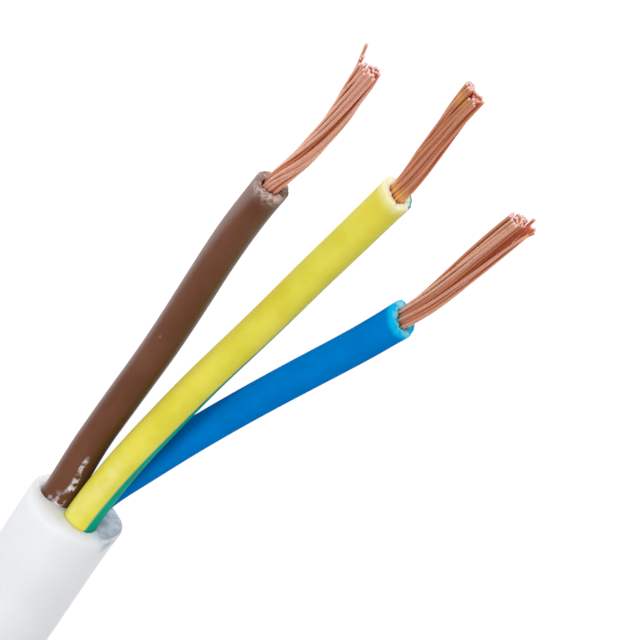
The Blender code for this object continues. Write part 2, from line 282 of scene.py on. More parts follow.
class Look:
    """One material's nodes, with short ways to add to them."""

    def __init__(self, name):
        self.mat = bpy.data.materials.new(name)
        self.mat.use_nodes = True
        self.tree = self.mat.node_tree
        self.shader = self.tree.nodes["Principled BSDF"]
        self.point = None

    def feed(self, socket, value):
        """Gives a socket a number, a colour or what another node puts out."""
        if isinstance(value, tuple):
            socket.default_value = value + (1.0,)
        elif isinstance(value, (int, float)):
            socket.default_value = value
        else:
            self.tree.links.new(value, socket)

    def add(self, kind, **inputs):
        made = self.tree.nodes.new(kind)
        for key, value in inputs.items():
            self.feed(made.inputs[key.replace("_", " ")], value)
        return made

    def attribute(self, name):
        made = self.add("ShaderNodeAttribute")
        made.attribute_name = name
        return made.outputs["Fac"]

    def noise(self, scale, detail=3.0, rough=0.55):
        """Noise through the object; the scale is in cells per metre."""
        if self.point is None:
            self.point = self.add("ShaderNodeTexCoord").outputs["Object"]
        made = self.add("ShaderNodeTexNoise", Vector=self.point, Scale=scale, Detail=detail,
                        Roughness=rough)
        return made.outputs["Fac"]

    def clouded(self, scale, first, second, low=0.3, high=0.72):
        """Soft patches of two colours."""
        return self.mix(self.ramp(self.noise(scale), low, high), first, second)

    def ramp(self, value, low, high, low_out=0.0, high_out=1.0):
        """Goes smoothly from one output to the other while the value goes from low to high."""
        made = self.add("ShaderNodeMapRange", Value=value, From_Min=low, From_Max=high, To_Min=low_out,
                        To_Max=high_out)
        made.interpolation_type = "SMOOTHSTEP"
        return made.outputs["Result"]

    def maths(self, kind, a, b):
        made = self.add("ShaderNodeMath")
        made.operation = kind
        self.feed(made.inputs[0], a)
        self.feed(made.inputs[1], b)
        return made.outputs[0]

    def mix(self, amount, first, second):
        made = self.add("ShaderNodeMix")
        made.data_type = "RGBA"
        made.clamp_factor = True
        for number, value in ((0, amount), (6, first), (7, second)):
            self.feed(made.inputs[number], value)
        return made.outputs[2]

    def bump(self, height, distance, strength):
        made = self.add("ShaderNodeBump", Strength=strength, Distance=distance, Height=height)
        self.feed(self.shader.inputs["Normal"], made.outputs["Normal"])

    def finish(self, base, rough, **plain):
        """Feeds what can vary over the surface, and sets the shader's plain values."""
        self.feed(self.shader.inputs["Base Color"], base)
        self.feed(self.shader.inputs["Roughness"], rough)
        for key, value in plain.items():
            self.shader.inputs[key.replace("_", " ")].default_value = value
        return self.mat


def white_pvc():
    """The sheath. Its values: cut is painted grey shade on the far side of the cut end, darker still above
    1; near is a paler, bluer colour painted on the near part of the cut to lift its shade; turn is painted
    shade on the rounded edge where it catches the light.
    """
    look = Look("scene_white_pvc")
    base = look.clouded(90.0, (0.775, 0.795, 0.82), (0.825, 0.835, 0.855), 0.35, 0.7)
    # Painted grey shade on the far side of the cut end, patchy, and a darker painted edge where cut goes
    # above 1
    cut = look.attribute("cut")
    patchy = look.ramp(look.noise(900.0, 3.0, 0.5), 0.34, 0.64, 0.35, 1.0)
    painted_shade = look.maths("MULTIPLY", look.ramp(cut, 0.0, 1.0), patchy)
    base = look.mix(painted_shade, base, (0.44, 0.50, 0.56))
    base = look.mix(look.ramp(cut, 1.0, 1.8, 0.0, 0.8), base, (0.20, 0.23, 0.27))
    # Painted pale, bluer colour on the near part of the cut, lifting the shade and yellow bounce that fall
    # there
    base = look.mix(look.attribute("near"), base, (0.89, 0.93, 1.0))
    # Painted shade on the rounded outer edge, toning down the light it catches
    base = look.mix(look.attribute("turn"), base, (0.69, 0.705, 0.73))
    grain = look.noise(2200.0, 4.0, 0.6)
    gloss = look.ramp(cut, 0.0, 1.0, 0.0, -0.24)
    rough = look.maths("ADD", look.ramp(grain, 0.3, 0.7, 0.44, 0.54), gloss)
    look.bump(grain, 0.04 * MM, 0.5)
    return look.finish(base, rough, Subsurface_Weight=0.7, Subsurface_Radius=(1.0, 0.97, 0.95),
                       Subsurface_Scale=1.4 * MM)


def core_finish(look, base, bore_shade_colour, rough, sheen, soft=0.06):
    """What the three insulations share: painted shade inside the bore, a low sheen and a fine grain."""
    # Painted shade inside the bore
    base = look.mix(look.attribute("bore_shade"), base, bore_shade_colour)
    grain = look.noise(4200.0, 4.0, 0.6)
    look.bump(grain, 0.03 * MM, 0.5)
    return look.finish(base, look.ramp(grain, 0.3, 0.7, rough - 0.05, rough + 0.07),
                       Specular_IOR_Level=sheen, Subsurface_Weight=soft,
                       Subsurface_Radius=(1.0, 0.97, 0.9), Subsurface_Scale=0.4 * MM)


# The patchy torn rim; on the blue and yellow cores it is painted pale, partly the paler cut edge and partly
# a painted highlight
def pale_rim_and_highlight(look):
    patchy = look.ramp(look.noise(1500.0), 0.36, 0.6, 0.72, 1.0)
    return look.maths("MULTIPLY", look.attribute("rim"), patchy)


def brown_pvc():
    """Brown, with a flecked rim, one side painted darker with shade and a reflection of the yellow core,
    the other side painted paler as a sheen, and white crumbs where dust is high.
    """
    look = Look("scene_brown_pvc")
    base = look.clouded(260.0, (0.138, 0.046, 0.020), (0.172, 0.062, 0.030))
    torn = look.ramp(look.noise(1900.0, 4.0, 0.65), 0.42, 0.58, 0.25, 1.0)
    base = look.mix(look.maths("MULTIPLY", look.attribute("rim"), torn), base, (0.74, 0.60, 0.56))
    across = look.attribute("stripe")
    # Painted shade and a painted olive reflection of the yellow core along one side
    base = look.mix(look.ramp(across, -0.4, 1.9, 0.0, 0.85), base, (0.095, 0.040, 0.010))
    # Painted sheen, paler, on the other side
    base = look.mix(look.ramp(across, -2.1, -1.2, 0.5, 0.0), base, (0.34, 0.24, 0.23))
    crumbs = look.ramp(look.noise(1050.0, 4.0, 0.55), 0.40, 0.56)
    smear = look.ramp(look.noise(420.0, 2.0, 0.5), 0.30, 0.50, 0.15, 1.0)
    residue = look.maths("MULTIPLY", look.maths("MULTIPLY", crumbs, smear),
                         look.ramp(look.attribute("dust"), 0.05, 0.55))
    base = look.mix(residue, base, (0.76, 0.72, 0.79))
    speck = look.noise(1700.0, 2.0, 0.5)
    base = look.mix(look.ramp(speck, 0.72, 0.77, 0.0, 0.2), base, (0.55, 0.42, 0.38))
    return core_finish(look, base, (0.42, 0.10, 0.06), 0.38, 0.24)


def blue_pvc():
    """Blue, with painted shadow of the yellow core along one side and a cyan rim that is partly the paler
    cut edge and partly a painted highlight.
    """
    look = Look("scene_blue_pvc")
    base = look.clouded(260.0, (0.0, 0.176, 0.56), (0.0, 0.205, 0.63))
    # Painted shadow of the yellow core along one side
    base = look.mix(look.ramp(look.attribute("stripe"), -0.2, 1.0, 0.0, 0.6), base, (0.0, 0.085, 0.40))
    # Lighter blue towards the tip and paler flecks at the rim: partly the paler cut edge, partly a painted
    # highlight
    base = look.mix(look.ramp(look.attribute("rim"), 0.04, 0.6), base, (0.0, 0.46, 0.82))
    base = look.mix(look.ramp(pale_rim_and_highlight(look), 0.62, 0.95), base, (0.26, 0.74, 0.92))
    return core_finish(look, base, (0.06, 0.04, 0.14), 0.45, 0.0)


def earth_pvc():
    """Yellow, with a green stripe, a muted line between them, a pale haze, and a pale rim that is partly
    the paler cut edge and partly a painted highlight.
    """
    look = Look("scene_green_yellow_pvc")
    yellow = look.clouded(240.0, (0.725, 0.65, 0.058), (0.80, 0.725, 0.10))
    green = look.clouded(240.0, (0.0, 0.315, 0.19), (0.0, 0.385, 0.235))
    stripe = look.attribute("stripe")
    edge = look.ramp(stripe, -0.05, 0.05)
    base = look.mix(edge, yellow, green)
    border = look.ramp(look.maths("ABSOLUTE", stripe, 0.0), 0.0, 0.16, 0.55, 0.0)
    base = look.mix(border, base, (0.50, 0.50, 0.30))
    haze = look.maths("MULTIPLY", look.ramp(look.attribute("dust"), 0.05, 0.8),
                      look.ramp(look.noise(900.0, 4.0, 0.6), 0.36, 0.66, 0.22, 0.42))
    base = look.mix(haze, base, look.mix(edge, (0.88, 0.85, 0.40), (0.02, 0.36, 0.24)))
    # Pale rim and a paler edge: partly the paler cut edge, partly a painted highlight
    base = look.mix(pale_rim_and_highlight(look), base, look.mix(edge, (0.94, 0.93, 0.68), (0.0, 0.36, 0.26)))
    base = look.mix(look.ramp(look.attribute("rim"), 0.78, 0.9), base, (0.97, 0.96, 0.80))
    return core_finish(look, base, (0.80, 0.48, 0.05), 0.45, 0.02, 0.4)


def copper():
    """Copper in each strand's own tone, with painted red shade between strands, painted golden highlights
    in places, painted shade on the sunk strands, and pink at the cuts.
    """
    look = Look("scene_bare_copper")
    streak = look.noise(1400.0, 3.0, 0.6)
    # Each strand's own tone; the sunk strands get the dark end as painted shade
    base = look.mix(look.attribute("strand"), (0.66, 0.25, 0.12), (0.92, 0.52, 0.385))
    base = look.mix(look.ramp(streak, 0.46, 0.76, 0.0, 0.3), base, (0.60, 0.20, 0.08))
    # Painted red shade between the strands, where their sides face into the bundle
    base = look.mix(look.ramp(look.attribute("open"), -0.1, 0.5, 0.75, 0.0), base, (0.72, 0.13, 0.035))
    # Painted golden highlights in patches
    base = look.mix(look.attribute("gold_highlight"), base, (0.88, 0.50, 0.13))
    base = look.mix(look.attribute("cut"), base, (0.86, 0.62, 0.60))
    return look.finish(base, look.ramp(streak, 0.3, 0.7, 0.32, 0.46), Metallic=0.5)


def nylon():
    look = Look("scene_natural_nylon")
    base = look.clouded(160.0, (0.72, 0.72, 0.66), (0.80, 0.80, 0.75), 0.3, 0.7)
    grain = look.noise(2600.0, 3.0, 0.6)
    look.bump(grain, 0.03 * MM, 0.4)
    return look.finish(base, look.ramp(grain, 0.3, 0.7, 0.36, 0.46), Subsurface_Weight=0.3,
                       Subsurface_Radius=(1.0, 1.0, 0.9), Subsurface_Scale=1.5 * MM)


WHITE_PVC = white_pvc()
BROWN_PVC = brown_pvc()
BLUE_PVC = blue_pvc()
EARTH_PVC = earth_pvc()
COPPER = copper()
NYLON = nylon()


# camera

camera_data = bpy.data.cameras.new("camera")
camera_data.sensor_width = 36.0
camera_data.lens = CAMERA_LENS
camera_data.clip_start = 0.01
camera_data.clip_end = 20.0
camera = new_object("camera", camera_data)
right = CAMERA_RIGHT.normalized()
up = (CAMERA_UP - right * CAMERA_UP.dot(right)).normalized()
turn = Matrix((right, up, right.cross(up))).transposed().to_4x4()
camera.matrix_world = Matrix.Translation(END + CAMERA_PLACE) @ turn
bpy.context.scene.camera = camera


# the sheath's free lead, with its cut end

# Round the cable: angle from +Z towards -Y in degrees, then how far the cut stands past the end
# plane, the radius of its inner edge and that of its outer edge, all three in mm
CUT_EDGE = [
    (-180.0, 0.15, 0.20, 0.35),
    (-120.0, 0.08, 0.25, 0.22),
    (-87.0, 0.04, 0.62, 0.24),
    (-56.0, 0.00, 0.40, 0.60),
    (-25.0, 0.02, 0.22, 0.95),
    (0.0, 0.02, 0.20, 0.80),
    (35.0, 0.04, 0.18, 0.66),
    (62.0, 0.18, 0.24, 0.50),
    (95.0, 0.55, 0.34, 0.32),
    (128.0, 0.34, 0.30, 0.32),
    (150.0, 0.24, 0.22, 0.35),
    (180.0, 0.15, 0.20, 0.35),
]

# The lead's rings stand closer together near the cut: the spacing up to 4 mm from it, up to 30 mm from
# it and beyond, and the gap without rings before the cut
RING_STEP_FROM = (4.0 * MM, 30.0 * MM)
RING_STEPS = (0.5 * MM, 1.0 * MM, 3.0 * MM)
LAST_RING_GAP = 1.1 * MM

# The shown lead starts a little way inside the coil's outer turn, so that no seam shows, in mm
INTO_COIL = (0.7, 0.25)
INTO_COIL_THINNER = 0.25 * MM

# The outer edge's rounding: angle, the painted grey shade on the far side, and what the other sides get of
# near, the painted pale colour, and turn, the painted shade of the lit edge
EDGE_ROUNDING = ((18.0, 0.8, 0.0, 0.2), (36.0, 1.0, 0.0, 0.45), (54.0, 1.4, 0.0, 0.5),
                 (72.0, 1.6, 0.2, 0.3), (90.0, 1.3, 0.7, 0.0))


def channel_radius(angle):
    """How far the three-lobed hollow reaches from the axis, at an angle from +Z towards -Y."""
    lobe_radius = CORE_RADIUS + 0.03 * MM
    best = np.zeros_like(angle)
    for p in (BROWN_POINTS[0], EARTH_POINTS[0], BLUE_POINTS[0]):
        d = wrapped(angle - math.atan2(-p[1], p[2]))
        inside = lobe_radius ** 2 - (CORE_OFFSET * np.sin(d)) ** 2
        reach = CORE_OFFSET * np.cos(d) + np.sqrt(np.maximum(inside, 0.0))
        best = np.where((np.abs(d) < math.pi / 2.0) & (inside > 0.0), np.maximum(best, reach), best)
    return best


def lead_rings():
    """Places of the lead's rings along its centre line, and how far each is from the cut in mm."""
    line = spline(place(LEAD_POINTS), RING_STEPS[0])
    run = distance_along(line)
    left = run[-1] - run
    keep = [0]
    for i in range(1, len(line)):
        step = RING_STEPS[np.searchsorted(RING_STEP_FROM, left[i])]
        last_one = i == len(line) - 1
        if (run[i] - run[keep[-1]] >= step - TINY and left[i] > LAST_RING_GAP) or last_one:
            keep.append(i)
    line = line[keep]
    left = left[keep] / MM
    into_coil = unit(line[0] - line[1])
    line = np.vstack([line[0] + into_coil * back * MM for back in INTO_COIL] + [line])
    return line, np.concatenate([left[0] + np.array(INTO_COIL), left])


def make_lead():
    """The free lead: its side, the rounded cut with painted grey shade on its far side, and the hollow that
    the cores come out of.
    """
    sides = 128
    angle = angles_round(sides)
    degrees = np.degrees(wrapped(angle))
    line, left = lead_rings()
    along, up_side, side = axes_along(line)
    out = spokes(angle, up_side, side)
    uneven = waves(11, 6, 0.05, 0.35)
    ripple = waves(12, 5, 0.0, 0.0)
    rough = waves(14, 7, 0.0, 0.0)
    lip = (look_up(CUT_EDGE, degrees) + 0.04 * wavy(ripple, 0.0, angle)
           + 0.022 * np.sin(7.0 * angle + 1.0) + 0.014 * np.sin(13.0 * angle + 0.4)) * MM
    inner_edge = look_up(CUT_EDGE, degrees, 2) * MM
    outer_edge = look_up(CUT_EDGE, degrees, 3) * MM
    # The far side of the cut gets the painted grey shade; the other side gets the painted pale colour and
    # the painted edge shade
    dark_side = smooth_share(degrees, 38.0, 62.0) * (1.0 - smooth_share(degrees, 158.0, 176.0))
    light_side = 1.0 - dark_side
    flare = 0.13 * np.exp(-((degrees - 92.0) / 38.0) ** 2)
    # Values: painted grey shade on the far side, painted pale colour on the near part, painted shade on the
    # lit edge
    tube = Tube(sides, "cut", "near", "turn")
    for i in range(len(line)):
        wider = 0.02 * wavy(uneven, left[i], angle) + flare * math.exp(-left[i] / 1.6)
        radius = SHEATH_RADIUS + wider * MM
        if i == 0:
            radius = radius - INTO_COIL_THINNER
        fade = max(0.0, 1.0 - left[i] / 3.0)
        shift = lip * fade - (outer_edge if i == len(line) - 1 else 0.0)
        # Painted grey shade on the outer side just behind the cut, on the far side
        painted_shade = 1.5 * dark_side * smooth_share(degrees, 50.0, 66.0) * math.exp(-(left[i] / 1.1) ** 2)
        tube.add(line[i] + out[i] * radius[:, None] + along[i] * shift[:, None], painted_shade, 0.0, 0.0)
    hollow = channel_radius(angle)
    outer = SHEATH_RADIUS + (0.02 * wavy(uneven, 0.0, angle) + flare) * MM

    def add(r, x, painted_shade, pale=1.0, painted_edge_shade=0.0):
        """A ring at the cut, with radii r and distances x past the end plane, and its shares of the painted
        grey shade, the painted pale colour and the painted edge shade.
        """
        tube.add(line[-1] + out[-1] * r[:, None] + along[-1] * x[:, None], dark_side * painted_shade,
                 light_side * pale, light_side * painted_edge_shade)

    # The rounded edge: painted grey shade on the far side; painted pale colour and painted shade of the lit
    # edge on the other sides
    for turned, painted_shade, pale, painted_edge_shade in EDGE_ROUNDING:
        t = math.radians(turned)
        add(outer - outer_edge * (1.0 - math.cos(t)), lip - outer_edge * (1.0 - math.sin(t)), painted_shade, pale,
            painted_edge_shade)
    # The flat face, the inner rounding and the hollow: painted grey shade on the far side, the painted pale
    # colour on the others
    for share in (0.2, 0.4, 0.6, 0.8):
        dip = 0.05 * wavy(rough, 0.0, angle * (2.0 + 3.0 * share)) - 0.04 * math.sin(math.pi * share)
        add((outer - outer_edge) * (1.0 - share) + (hollow + inner_edge) * share, lip + dip * MM,
            1.0 - 0.2 * share)
    for turned in (0.0, 30.0, 60.0, 90.0):
        t = math.radians(turned)
        add(hollow + inner_edge * (1.0 - math.sin(t)), lip - inner_edge * (1.0 - math.cos(t)), 0.8)
    for depth in (0.9, 1.5, 3.0, 9.0):
        add(hollow, np.full(sides, -depth * MM), 0.8)
    obj = tube.piece("sheath_lead", WHITE_PVC)
    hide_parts("cable_lead")
    return obj, line


# insulated cores

def stripe_value(stripe, s, angle):
    """Signed distance in mm into the stripe, which on the brown and blue cores is a band of painted shade.
    Its rows are s in mm and its two edges in degrees.
    """
    first = math.radians(look_up(stripe, s))
    last = math.radians(look_up(stripe, s, 2))
    return ((last - first) / 2.0 - np.abs(wrapped(angle - (first + last) / 2.0))) * CORE_RADIUS / MM


def dust_value(dust, s, angle):
    """How much dust there is; each patch is (s, angle, spread in s, spread round) in mm and degrees."""
    found = np.zeros_like(angle)
    for middle, at, long, wide in dust:
        round_by = np.degrees(wrapped(angle - math.radians(at)))
        patch = math.exp(-((s - middle) / long) ** 2) * np.exp(-(round_by / wide) ** 2)
        found = np.maximum(found, patch)
    return found


def make_core(name, points, mat, cad_node, widths, stripe, dust=(), seed=1, tip_bore=0.82,
              slant=(0.0, 0.0, 0.0)):
    """One insulated core with a torn rim at its tip.

    widths are (distance from the sheath, radius) in mm. The slant of the cut is how far its middle and
    its highest side stand forward, in mm, and the angle of that side. The rim value is the torn edge, which
    the blue and yellow materials also lighten as a painted highlight. stripe is the earth core's green
    stripe, and on the brown and blue cores the band of painted shade; the deeper rings carry painted
    shade inside the bore.
    """
    sides = 72
    edge = 0.11 * MM
    shoulder = 0.06 * MM
    angle = angles_round(sides)
    whole = place(points)
    root = [whole[0] - np.array([CORE_ROOT_LENGTH * share, 0.0, 0.0]) for share in (1.0, 0.5)]
    line = spline(np.vstack(root + [whole]), 0.3 * MM)
    along, up_side, side = axes_along(line)
    out = spokes(angle, up_side, side)
    run = distance_along(line)
    left = (run[-1] - run) / MM
    from_sheath = run / MM - CORE_ROOT_LENGTH / MM
    uneven = waves(seed, 8, 0.12, 0.9)
    rough = waves(seed + 50, 6, 0.0, 0.0)
    lip = (0.12 * wavy(rough, 0.0, angle) + 0.05 * np.sin(4.0 * angle + seed)
           + 0.04 * np.sin(9.0 * angle + 2.0 * seed) + 0.03 * np.sin(17.0 * angle + 3.0 * seed)
           + slant[0] + slant[1] * np.cos(angle - math.radians(slant[2]))) * MM
    tube = Tube(sides, "stripe", "rim", "bore_shade", "dust")
    last_one = len(line) - 1
    for i in range(len(line)):
        if left[i] <= 0.8 and i < last_one:
            continue
        radius = look_up(widths, from_sheath[i]) * MM + 0.02 * MM * wavy(uneven, left[i], angle)
        radius = radius + 0.03 * MM * math.exp(-((left[i] - 0.5) / 0.9) ** 2)
        shift = -edge if i == last_one else 0.0
        fade = max(0.0, 1.0 - left[i] / 2.4)
        tube.add(line[i] + along[i] * shift + out[i] * radius[:, None] + along[i] * (lip * fade)[:, None],
                 stripe_value(stripe, from_sheath[i], angle), 0.7 * max(0.0, 1.0 - left[i] / 1.5) ** 2,
                 0.0, dust_value(dust, from_sheath[i], angle))
    outer = widths[-1][1] * MM + 0.02 * MM * wavy(uneven, 0.0, angle) + 0.022 * MM
    bore = (tip_bore + 0.03 * wavy(rough, 0.0, angle + 0.7) + 0.012 * np.sin(6.0 * angle + seed)) * MM
    last_stripe = stripe_value(stripe, from_sheath[-1], angle)

    def add(r, x, rim, bore_shade=0.0):
        """A ring at the tip, with radii r and distances x past the end of the line."""
        tube.add(line[-1] + out[-1] * r[:, None] + along[-1] * x[:, None], last_stripe, rim, bore_shade, 0.0)

    for turned in (35.0, 65.0, 90.0):
        t = math.radians(turned)
        add(outer - edge * (1.0 - math.cos(t)), lip - edge * (1.0 - math.sin(t)),
            0.70 + 0.10 * turned / 90.0)
    for share, rim in ((0.3, 0.88), (0.6, 1.0)):
        dip = 0.05 * wavy(rough, 0.0, angle * 3.0 + 5.0 * share)
        dip = dip + 0.016 * np.sin(23.0 * angle + 9.0 * share)
        add((outer - edge) * (1.0 - share) + (bore + shoulder) * share,
            lip + dip * MM - shoulder * share, rim)
    add(bore + shoulder, lip - 0.08 * MM, 0.9)
    # Into the bore, painted with shade that deepens inward
    add(bore, lip - 0.18 * MM, 0.5, 0.35)
    for depth, bore_shade in ((0.45, 0.8), (0.9, 1.0), (1.6, 1.0), (2.6, 1.0)):
        add(bore, np.full(sides, -depth * MM), 0.0, bore_shade)
    obj = tube.piece(name, mat)
    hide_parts(cad_node)
    return obj, line


# bare strands

def start_bundle(seed):
    """Thirty strands in three shells, as places across the bundle in strand diameters."""
    rng = np.random.default_rng(seed)
    places = []
    for count, radius, turn_by in ((4, 0.70, 0.3), (10, 1.72, 0.1), (16, 2.74, 0.0)):
        for j in range(count):
            angle = 2.0 * math.pi * (j / count + turn_by)
            places.append((radius * math.cos(angle), radius * math.sin(angle)))
    return np.array(places) + rng.normal(0.0, 0.06, (STRAND_COUNT, 2))


def settle(p, oval, rounds):
    """Pushes strands apart where they overlap, and back inside the bundle's oval outline."""
    far = np.eye(STRAND_COUNT) * 9.0
    for _ in range(rounds):
        gap = p[:, None, :] - p[None, :, :]
        dist = np.linalg.norm(gap, axis=2) + far
        push = np.clip(STRANDS_APART - dist, 0.0, None)
        p = p + 0.3 * (gap / dist[:, :, None] * push[:, :, None]).sum(axis=1)
        p = p / np.maximum(1.0, np.linalg.norm(p / oval, axis=1))[:, None]
    return p


def pack_bundle(run, seed, half_wide, room, lay, sunk):
    """Follows the strands along the bundle as it twists and widens; also gives its outline at each step.

    half_wide is (share of the length, half width) in strand diameters. room is the product of the oval's
    two half sizes and lay the length of a full twist, both at the two ends. sunk are the outer strands
    that lie deeper than their neighbours.
    """
    rng = np.random.default_rng(seed + 7)
    p = start_bundle(seed)
    pull = np.ones((STRAND_COUNT, 1))
    pull[list(sunk)] = 1.0 - SINKING
    drift = rng.normal(0.0, 0.012, (STRAND_COUNT, 2))
    found = []
    ovals = []
    for i in range(len(run)):
        t = run[i] / run[-1]
        wide = look_up(half_wide, t)
        oval = np.array([wide, (room[0] + (room[1] - room[0]) * t) / (wide + 0.5) - 0.5])
        if i:
            by = 2.0 * math.pi * (run[i] - run[i - 1]) / (lay[0] + (lay[1] - lay[0]) * t)
            p = p @ np.array([[math.cos(by), math.sin(by)], [-math.sin(by), math.cos(by)]])
            p = (p * oval / ovals[-1] + drift) * pull
        p = settle(p, oval, 8 if i else 30)
        found.append(p)
        ovals.append(oval)
    found = np.array(found)
    for _ in range(6):
        found[1:-1] = 0.25 * found[:-2] + 0.5 * found[1:-1] + 0.25 * found[2:]
    return found * STRAND_DIAMETER, np.array(ovals) * STRAND_DIAMETER


def strand_mesh(paths, heart, wide_side, deep_side, ovals, tones):
    """Round wires along their own lines, each ending in a flat cut face.

    The open value is 1 where a wire's side faces out of the bundle and 0 or less between the wires; the
    copper paints red shade where it is low.
    """
    sides = 10
    face_share = 0.86
    face_out = 0.015 * MM
    hub_out = 0.02 * MM
    verts = []
    faces = []
    values = {"strand": [], "cut": [], "open": []}
    angle = angles_round(sides)
    base = 0
    for path, own in zip(paths, tones):
        along = unit(np.gradient(path, axis=0))
        u = unit(np.cross(along[0], np.array([0.0, 0.0, 1.0])))
        rings = []
        opened = []
        for i in range(len(path)):
            u = unit(u - along[i] * np.dot(u, along[i]))
            around = spokes(angle, u, np.cross(along[i], u))
            rings.append(path[i] + STRAND_SHOWN / 2.0 * around)
            off = path[i] - heart[i]
            place_wide = off @ wide_side[i] / ovals[i][0]
            place_deep = off @ deep_side[i] / ovals[i][1]
            outward = wide_side[i] * place_wide / ovals[i][0] + deep_side[i] * place_deep / ovals[i][1]
            away = math.hypot(place_wide, place_deep)
            faces_out = around @ unit(outward) * min(1.0, away)
            opened.append(np.maximum(faces_out, smooth_share(away, 1.15, 1.5)))
        middle = rings[-1].mean(axis=0)
        rings.append(middle + (rings[-1] - middle) * face_share + along[-1] * face_out)
        hub = base + len(rings) * sides
        faces.extend(loft_faces(len(rings), sides, base, True, False))
        faces.extend((hub - sides + j, hub - sides + (j + 1) % sides, hub) for j in range(sides))
        verts.append(np.vstack(rings + [middle + along[-1] * hub_out]))
        marks = np.zeros(hub + 1 - base)
        marks[-(sides + 1):] = 1.0
        values["strand"].append(np.full(hub + 1 - base, own))
        values["cut"].append(marks)
        values["open"].append(np.concatenate(opened + [opened[-1], np.ones(1)]))
        base = hub + 1
    return np.concatenate(verts), faces, {key: np.concatenate(parts) for key, parts in values.items()}


def make_strands(name, core_line, copper_points, cad_node, seed, half_wide, room, lay, sunk, fan, ragged,
                 strays=(), bright=0.62, gold_highlight=()):
    """The bare strands of one core, which start inside its bore.

    fan is (share of the width it starts at, sideways reach, extra length) of the strands that splay out,
    and ragged is how unevenly the rest end. Each stray is (place of its tip, where it leaves the bundle,
    count), and each golden patch, a painted highlight, is (its place, its radius in mm, its strength).
    """
    step = 0.25 * MM
    past_end = 1.3 * MM
    stagger = 0.35
    spread = 0.10
    rng = np.random.default_rng(seed + 300)
    tip_of_core = core_line[-1]
    back_by = unit(core_line[-1] - core_line[-8])
    copper_line = place(copper_points)
    ahead = unit(copper_line[-1] - copper_line[-2])
    knots = [tip_of_core - back_by * depth * MM for depth in (2.2, 1.1, 0.0)]
    line = spline(np.vstack(knots + [copper_line, copper_line[-1] + ahead * past_end]), step)
    along = unit(np.gradient(line, axis=0))
    run = distance_along(line)
    shares = run / run[-1]
    across, ovals = pack_bundle(run, seed, half_wide, room, lay, sunk)
    wide_side = unit(np.cross(PRESSED_FROM, along))
    deep_side = np.cross(along, wide_side)
    late = smooth_share(shares, 0.5, 1.0)
    reach = across[-1, :, 0] / ovals[-1][0] * math.copysign(1.0, fan[1])
    splayed = (reach > fan[0]) & (across[-1, :, 1] > -0.5 * ovals[-1][1])
    paths = []
    stops = []
    for j in range(STRAND_COUNT):
        wide = across[:, j, 0:1]
        if splayed[j]:
            wide = wide + (fan[1] * late)[:, None]
        paths.append(line + wide_side * wide + deep_side * across[:, j, 1:2])
        trim = past_end + ragged * abs(rng.normal()) - (fan[2] if splayed[j] else 0.0)
        stops.append(len(line) - max(0, int(round(trim / step))))
    taken = set()
    for tip, leaves, count in strays:
        target = place([tip])[0]
        ends = np.array([path[-1] for path in paths])
        order = [int(j) for j in np.argsort(np.linalg.norm(ends - target, axis=1)) if int(j) not in taken]
        for n, j in enumerate(order[:count]):
            taken.add(j)
            goal = target - ahead * stagger * MM * n + rng.normal(0.0, spread, 3) * MM * min(1.0, n)
            share = np.clip((shares - leaves) / (1.0 - leaves), 0.0, 1.0)[:, None] ** 1.8
            paths[j] = paths[j] + share * (goal - paths[j][-1])
            stops[j] = len(line)
    paths = [path[:stop] for path, stop in zip(paths, stops)]
    begin = start_bundle(seed)
    bands = np.sin(2.0 * np.arctan2(begin[:, 1], begin[:, 0]) + seed)
    tones = np.clip(bright + 0.22 * bands + rng.normal(0.0, 0.16, STRAND_COUNT), 0.0, 1.0)
    # The sunk strands get the darkest tone: painted shade
    tones[list(sunk)] = 0.0
    verts, faces, values = strand_mesh(paths, line, wide_side, deep_side, ovals, tones)
    # Painted golden highlight patches on the strands
    values["gold_highlight"] = np.zeros(len(verts))
    for middle, radius, strength in gold_highlight:
        away = np.linalg.norm(verts - place([middle])[0], axis=1) / (radius * MM)
        values["gold_highlight"] = np.maximum(values["gold_highlight"], strength * np.exp(-away ** 4))
    obj = new_piece(name, verts, faces, [COPPER], values=values)
    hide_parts(cad_node)
    return obj


# the wound coil

def coil_moves():
    """Where the cable crosses over: from angle, to angle, layer and level before, and those after.

    In each layer it climbs or sinks turn by turn, then it steps out to the next layer.
    """
    first_zone = math.radians(-82.0)
    zone = math.radians(26.0)
    zone_shift = math.radians(44.0)
    step_out = math.radians(22.0)
    moves = []
    for layer in range(TURNS_ACROSS):
        start = first_zone + (TURNS_ACROSS - 1 - layer) * zone_shift
        levels = list(range(TURNS_HIGH))
        if layer % 2:
            levels.reverse()
        for level, next_level in zip(levels, levels[1:]):
            moves.append((start, start + zone, (layer, level), (layer, next_level)))
        if layer + 1 < TURNS_ACROSS:
            moves.append((start - step_out, start, (layer, levels[-1]), (layer + 1, levels[-1])))
    return moves


